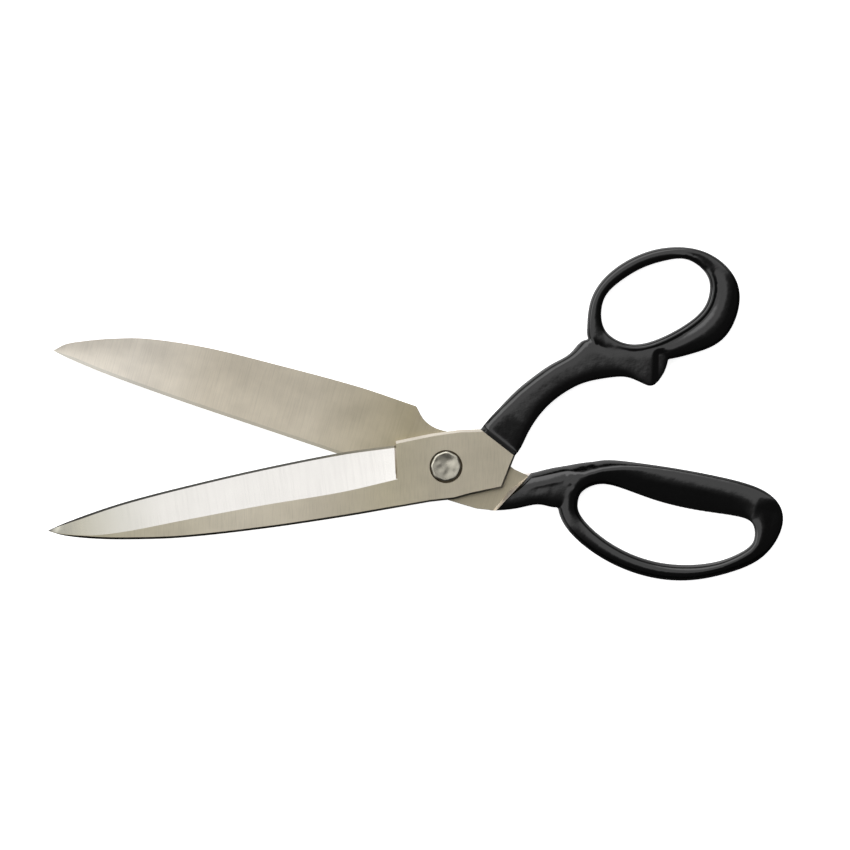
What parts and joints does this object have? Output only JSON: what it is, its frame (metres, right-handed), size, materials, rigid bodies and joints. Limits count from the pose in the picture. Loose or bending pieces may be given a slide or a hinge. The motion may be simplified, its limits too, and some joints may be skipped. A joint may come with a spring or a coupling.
{
  "type": "fabric shears",
  "caption": "Heavy-duty fabric shears with bent handles, a thumb ring and a long finger bow, steel blades on a screw pivot, shown partly open.",
  "frame": {"origin": "on the pivot axis, at the plane the shears lie on (the rear half's outer face)", "axes": "+X from the blade tips towards the handles along the shears' length, +Y across, from the finger bow towards the thumb ring, +Z along the pivot axis from the face they lie on up to the nut"},
  "size_m": [0.3131, 0.1421, 0.0109],
  "materials": {
    "frame_steel": "satin, vertical grain",
    "edge_steel": "ground across the blade",
    "black_enamel": "gloss",
    "pivot_steel": "hammered, satin"
  },
  "bodies": {
    "rear_half": {"rear_frame": "frame_steel", "rear_cutting_plate": "edge_steel", "rear_handle_enamel": "black_enamel", "pivot_bolt": "pivot_steel", "pivot_nut": "pivot_steel", "pivot_washer": "pivot_steel"},
    "front_half": {"front_frame": "frame_steel", "front_cutting_plate": "edge_steel", "front_handle_enamel": "black_enamel"}
  },
  "joints": [
    {"name": "blade_pivot", "type": "hinge", "parent": "rear_half", "child": "front_half", "pos_m": [0, 0, 0], "axis": [0, 0, 1], "range_deg": [-25, 60]}
  ]
}
